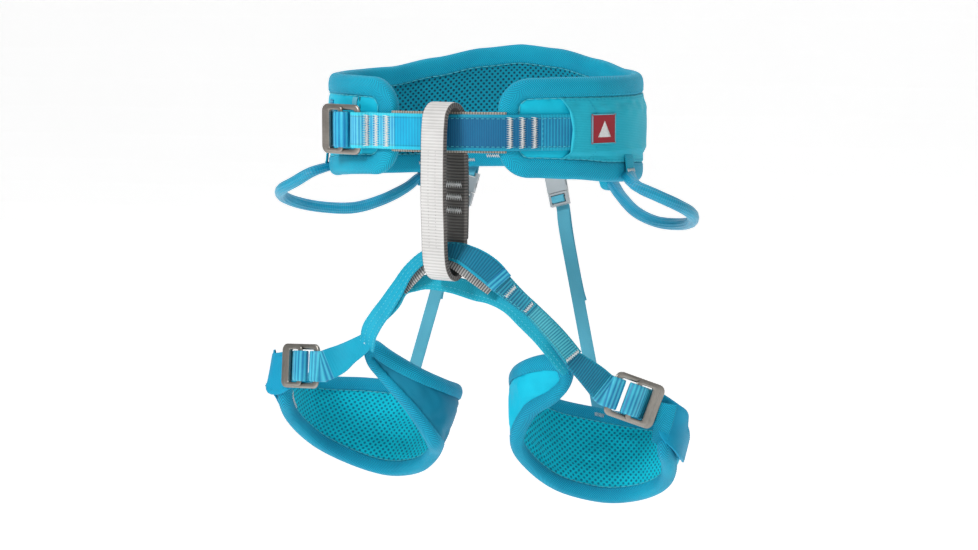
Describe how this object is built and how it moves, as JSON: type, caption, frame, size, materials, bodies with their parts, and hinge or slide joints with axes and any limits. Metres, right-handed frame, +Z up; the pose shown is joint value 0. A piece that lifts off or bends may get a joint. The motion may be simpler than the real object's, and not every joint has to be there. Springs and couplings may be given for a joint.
{
  "type": "climbing harness",
  "caption": "Climbing harness with padded waist belt, fabric belay loop, two padded leg loops with steel buckles, gear loops and rear elastic risers.",
  "frame": {"origin": "centre of the waist ring at the height of the belt webbing's centre, 2 mm below it", "axes": "+Z up, the wearer faces -Y, the wearer's left is +X"},
  "size_m": [0.3264, 0.205, 0.3318],
  "materials": {
    "shell_fabric": "smooth woven nylon",
    "lining_mesh": "spacer mesh",
    "binding_tape": "herringbone tape",
    "pad_foam": "closed-cell foam",
    "belt_webbing": "ribbed webbing",
    "leg_webbing": "ribbed webbing",
    "light_webbing": "zigzag-woven webbing",
    "sleeve_fabric": "fine ribbed fabric",
    "belay_tape": "ribbed tape, dark edges",
    "lap_tape": "ribbed tape with bar tacks",
    "wear_tape": "ribbed wear tape",
    "buckle_steel": "satin",
    "woven_label": "woven label",
    "gear_tube_plastic": "ribbed sleeve",
    "gear_core_plastic": "moulded core",
    "riser_elastic": "elastic",
    "clip_plastic": "moulded"
  },
  "bodies": {
    "waist": {"waist_foam": "pad_foam", "waist_shell": "shell_fabric", "waist_lining": "lining_mesh", "waist_binding": "binding_tape", "waist_front_webbing": "belt_webbing", "waist_back_webbing": "belt_webbing", "waist_wear_tape": "wear_tape", "waist_buckle_frame": "buckle_steel", "waist_tail_keeper": "riser_elastic", "waist_sleeve": "sleeve_fabric", "waist_label": "woven_label", "gear_tab_right": "binding_tape", "gear_tab_left": "binding_tape"},
    "waist_slider": {"waist_buckle_slider": "buckle_steel"},
    "belay": {"belay_loop": "belay_tape", "belay_loop_lap": "lap_tape"},
    "bridge": {"bridge_webbing": "leg_webbing", "bridge_wear_tape": "wear_tape", "bridge_cross_strap": "light_webbing"},
    "gear_right": {"gear_core_right": "gear_core_plastic", "gear_tube_right": "gear_tube_plastic"},
    "leg_right": {"leg_foam_right": "pad_foam", "leg_shell_right": "shell_fabric", "leg_lining_right": "lining_mesh", "leg_binding_right": "binding_tape", "leg_strap_right": "leg_webbing", "leg_anchor_right": "leg_webbing", "leg_right_buckle_frame": "buckle_steel"},
    "leg_right_slider": {"leg_right_buckle_slider": "buckle_steel"},
    "riser_right": {"riser_stub_right": "riser_elastic", "riser_female_right": "clip_plastic"},
    "riser_right_clip": {"riser_male_right": "clip_plastic", "riser_strap_right": "riser_elastic"},
    "gear_left": {"gear_core_left": "gear_core_plastic", "gear_tube_left": "gear_tube_plastic"},
    "leg_left": {"leg_foam_left": "pad_foam", "leg_shell_left": "shell_fabric", "leg_lining_left": "lining_mesh", "leg_binding_left": "binding_tape", "leg_strap_left": "leg_webbing", "leg_anchor_left": "leg_webbing", "leg_left_buckle_frame": "buckle_steel"},
    "leg_left_slider": {"leg_left_buckle_slider": "buckle_steel"},
    "riser_left": {"riser_stub_left": "riser_elastic", "riser_female_left": "clip_plastic"},
    "riser_left_clip": {"riser_male_left": "clip_plastic", "riser_strap_left": "riser_elastic"}
  },
  "joints": [
    {"name": "belay_swing", "type": "hinge", "parent": "waist", "child": "belay", "pos_m": [0, -0.0918, 0.002], "axis": [1, 0, 0], "range_deg": [-10, 5], "stiffness_Nm_per_rad": 0.4},
    {"name": "bridge_swing", "type": "hinge", "parent": "belay", "child": "bridge", "pos_m": [0, -0.0918, -0.087], "axis": [1, 0, 0], "range_deg": [-6, 12]},
    {"name": "waist_slider_travel", "type": "slide", "parent": "waist", "child": "waist_slider", "axis": [0.8996, -0.4366, 0], "range_m": [0, 0.002]},
    {"name": "gear_right_lift", "type": "hinge", "parent": "waist", "child": "gear_right", "pos_m": [-0.114, -0.033, -0.026], "axis": [0.3422, 0.9288, -0.1422], "range_deg": [-12, 40], "stiffness_Nm_per_rad": 0.15},
    {"name": "leg_right_flare", "type": "hinge", "parent": "bridge", "child": "leg_right", "pos_m": [-0.054, -0.07, -0.138], "axis": [-0.1752, 0.8727, -0.4556], "range_deg": [-8, 5], "stiffness_Nm_per_rad": 0.5},
    {"name": "leg_right_slider_travel", "type": "slide", "parent": "leg_right", "child": "leg_right_slider", "axis": [0.9033, -0.4215, 0.0803], "range_m": [0, 0.002]},
    {"name": "riser_right_swing", "type": "hinge", "parent": "waist", "child": "riser_right", "pos_m": [-0.038, 0.0915, -0.026], "axis": [1, 0, 0], "range_deg": [-5, 3]},
    {"name": "riser_right_unclip", "type": "slide", "parent": "riser_right", "child": "riser_right_clip", "axis": [-0.2211, -0.1996, -0.9546], "range_m": [0, 0.01]},
    {"name": "gear_left_lift", "type": "hinge", "parent": "waist", "child": "gear_left", "pos_m": [0.114, -0.033, -0.031], "axis": [0.3437, -0.9329, 0.1071], "range_deg": [-12, 40], "stiffness_Nm_per_rad": 0.15},
    {"name": "leg_left_flare", "type": "hinge", "parent": "bridge", "child": "leg_left", "pos_m": [0.068, -0.089, -0.127], "axis": [0.024, 0.8533, -0.5209], "range_deg": [-5, 8], "stiffness_Nm_per_rad": 0.5},
    {"name": "leg_left_slider_travel", "type": "slide", "parent": "leg_left", "child": "leg_left_slider", "axis": [-0.752, -0.5515, 0.361], "range_m": [0, 0.002]},
    {"name": "riser_left_swing", "type": "hinge", "parent": "waist", "child": "riser_left", "pos_m": [0.022, 0.094, -0.026], "axis": [1, 0, 0], "range_deg": [-5, 3]},
    {"name": "riser_left_unclip", "type": "slide", "parent": "riser_left", "child": "riser_left_clip", "axis": [0.2516, -0.2038, -0.9461], "range_m": [0, 0.01]}
  ],
  "couplings": [
    {"joint": "bridge_swing", "follows": "belay_swing", "ratio": -1.11},
    {"joint": "riser_right_swing", "follows": "belay_swing", "ratio": 0.4313},
    {"joint": "riser_left_swing", "follows": "belay_swing", "ratio": 0.3984}
  ]
}
